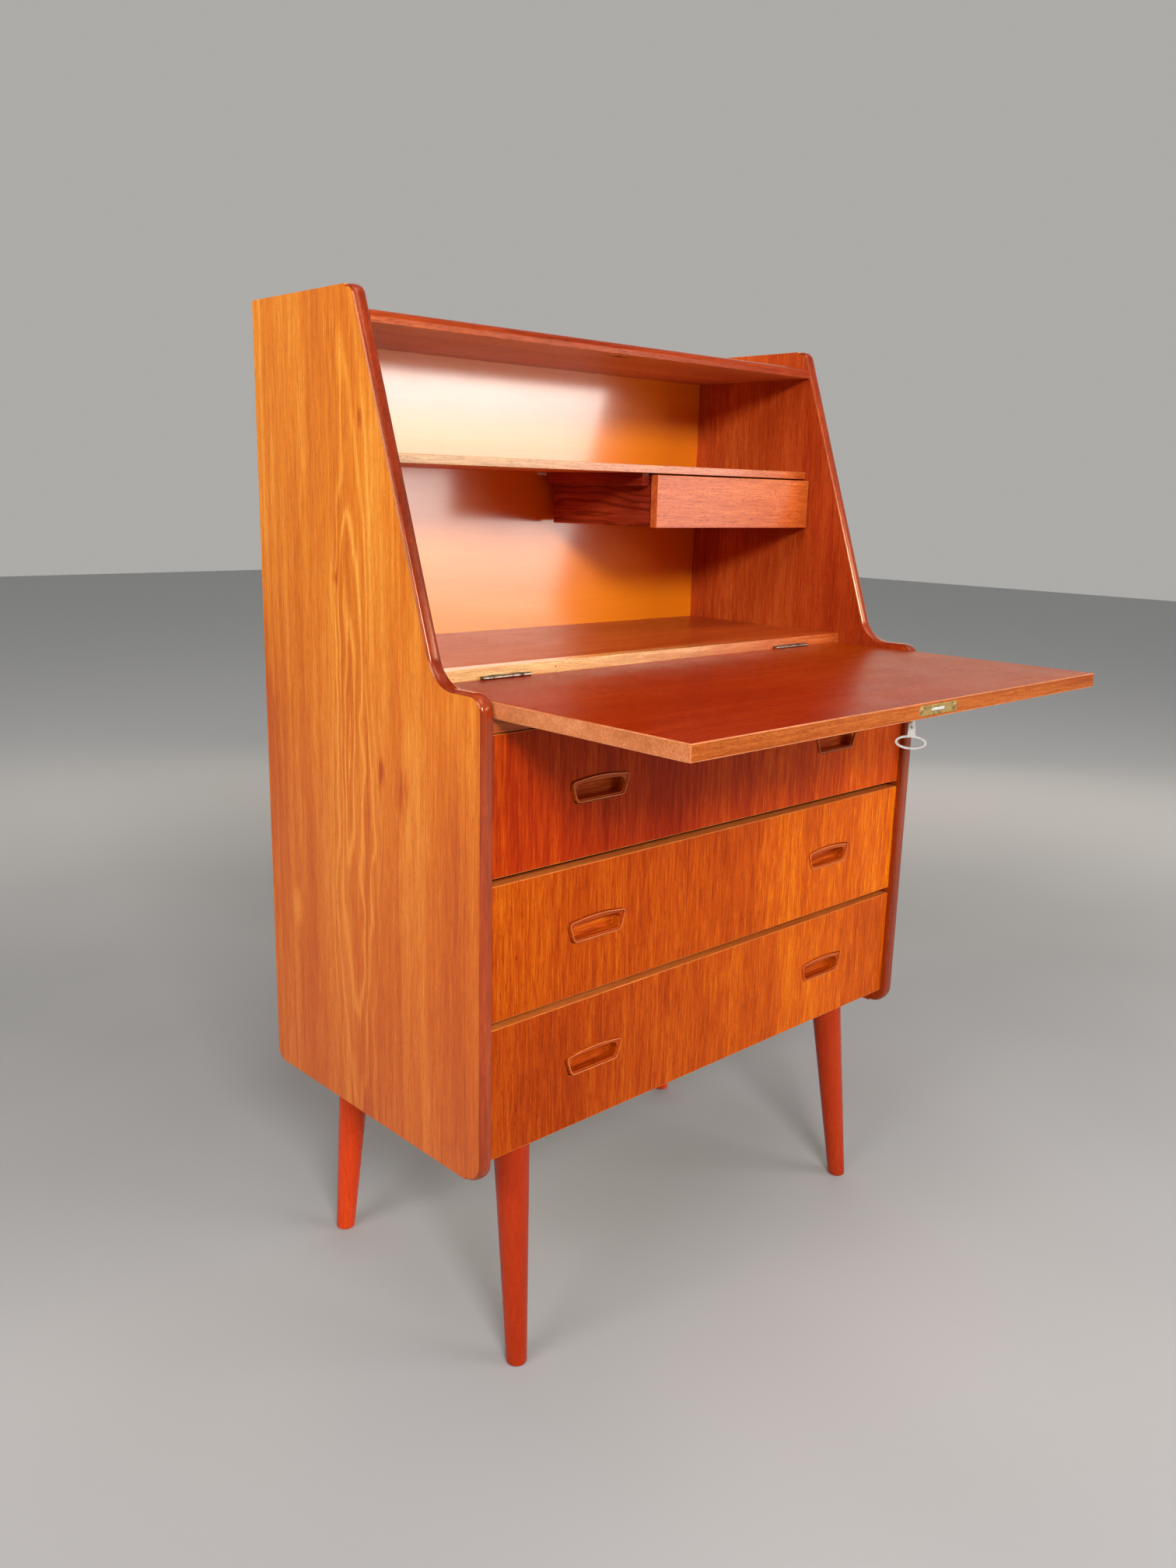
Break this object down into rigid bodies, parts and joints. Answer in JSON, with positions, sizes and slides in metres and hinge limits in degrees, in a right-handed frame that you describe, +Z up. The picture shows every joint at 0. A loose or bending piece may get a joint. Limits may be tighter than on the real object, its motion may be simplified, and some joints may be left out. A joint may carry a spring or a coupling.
{
  "type": "secretary desk",
  "caption": "Drop-front secretary desk with a hinged writing flap, shelf with small hanging drawer, wide drawers with carved pulls, and splayed tapering legs.",
  "frame": {"origin": "on the floor, under the middle of the whole desk with its flap open", "axes": "+Z up, the front with the flap faces -Y, +X to the right as seen from the front"},
  "size_m": [0.727, 0.6374, 1.12],
  "materials": {
    "side_veneer": "light orange teak veneer with fine dark streaks, satin lacquer",
    "teak_lipping": "dark red-brown solid teak, glossy lacquer",
    "back_veneer": "amber lacquered plywood, glossy, faint grain",
    "pale_wood": "pale beech with short dark pores, satin",
    "plywood": "plain plywood, matt",
    "drawer_front_teak": "orange-brown teak with upright streaked grain, satin lacquer",
    "leg_teak": "red-orange stained beech, satin lacquer",
    "flap_teak": "red-brown teak veneer worn pale in places, glossy lacquer",
    "zinc_steel": "dull zinc-plated or nickel-plated steel",
    "aged_brass": "tarnished satin brass"
  },
  "bodies": {
    "carcass": {"left_side_panel": "side_veneer", "right_side_panel": "side_veneer", "left_edge_lipping": "teak_lipping", "right_edge_lipping": "teak_lipping", "top_board": "side_veneer", "top_board_lipping": "teak_lipping", "back_panel": "back_veneer", "back_panel_screws": "zinc_steel", "shelf": "side_veneer", "shelf_lipping": "pale_wood", "desk_board": "side_veneer", "desk_board_lipping": "pale_wood", "front_rail": "teak_lipping", "dust_board": "plywood", "bottom_board": "plywood", "left_drawer_runners": "pale_wood", "right_drawer_runners": "pale_wood", "small_drawer_runners": "teak_lipping", "front_left_leg": "leg_teak", "front_right_leg": "leg_teak", "back_left_leg": "leg_teak", "back_right_leg": "leg_teak", "leg_plates": "zinc_steel", "leg_plate_screws": "zinc_steel", "hinge_fixed_leaves": "aged_brass", "hinge_pins": "aged_brass", "carcass_screws": "aged_brass", "strike_plate": "aged_brass"},
    "flap": {"flap_panel": "flap_teak", "flap_edging": "flap_teak", "hinge_moving_leaves": "aged_brass", "flap_screws": "aged_brass", "lock_case": "zinc_steel", "lock_plate": "aged_brass"},
    "bolt": {"lock_bolt": "aged_brass"},
    "key": {"key": "zinc_steel"},
    "bottom_drawer": {"bottom_drawer_front": "drawer_front_teak", "bottom_drawer_pulls": "drawer_front_teak", "bottom_drawer_left_side": "pale_wood", "bottom_drawer_right_side": "pale_wood", "bottom_drawer_back": "pale_wood", "bottom_drawer_base": "plywood"},
    "middle_drawer": {"middle_drawer_front": "drawer_front_teak", "middle_drawer_pulls": "drawer_front_teak", "middle_drawer_left_side": "pale_wood", "middle_drawer_right_side": "pale_wood", "middle_drawer_back": "pale_wood", "middle_drawer_base": "plywood"},
    "top_drawer": {"top_drawer_front": "drawer_front_teak", "top_drawer_pulls": "drawer_front_teak", "top_drawer_left_side": "pale_wood", "top_drawer_right_side": "pale_wood", "top_drawer_back": "pale_wood", "top_drawer_base": "plywood"},
    "small_drawer": {"small_drawer_front": "drawer_front_teak", "small_drawer_left_side": "teak_lipping", "small_drawer_right_side": "teak_lipping", "small_drawer_back": "teak_lipping", "small_drawer_base": "plywood"}
  },
  "joints": [
    {"name": "flap_hinge", "type": "hinge", "parent": "carcass", "child": "flap", "pos_m": [0, 0.03743, 0.7402], "axis": [1, 0, 0], "range_deg": [-107.9, 0]},
    {"name": "top_drawer_slide", "type": "slide", "parent": "carcass", "child": "top_drawer", "axis": [0, -1, 0], "range_m": [0, 0.2]},
    {"name": "middle_drawer_slide", "type": "slide", "parent": "carcass", "child": "middle_drawer", "axis": [0, -1, 0], "range_m": [0, 0.26]},
    {"name": "bottom_drawer_slide", "type": "slide", "parent": "carcass", "child": "bottom_drawer", "axis": [0, -1, 0], "range_m": [0, 0.26]},
    {"name": "small_drawer_slide", "type": "slide", "parent": "carcass", "child": "small_drawer", "axis": [0, -1, 0], "range_m": [0, 0.13]},
    {"name": "key_turn", "type": "hinge", "parent": "flap", "child": "key", "pos_m": [0.014, -0.29073, 0.712], "axis": [0, 0, 1], "range_deg": [-180, 0]},
    {"name": "bolt_slide", "type": "slide", "parent": "flap", "child": "bolt", "axis": [0, -1, 0], "range_m": [0, 0.008]}
  ],
  "couplings": [
    {"joint": "key_turn", "follows": "bolt_slide", "rad_per_m": -392.7}
  ]
}
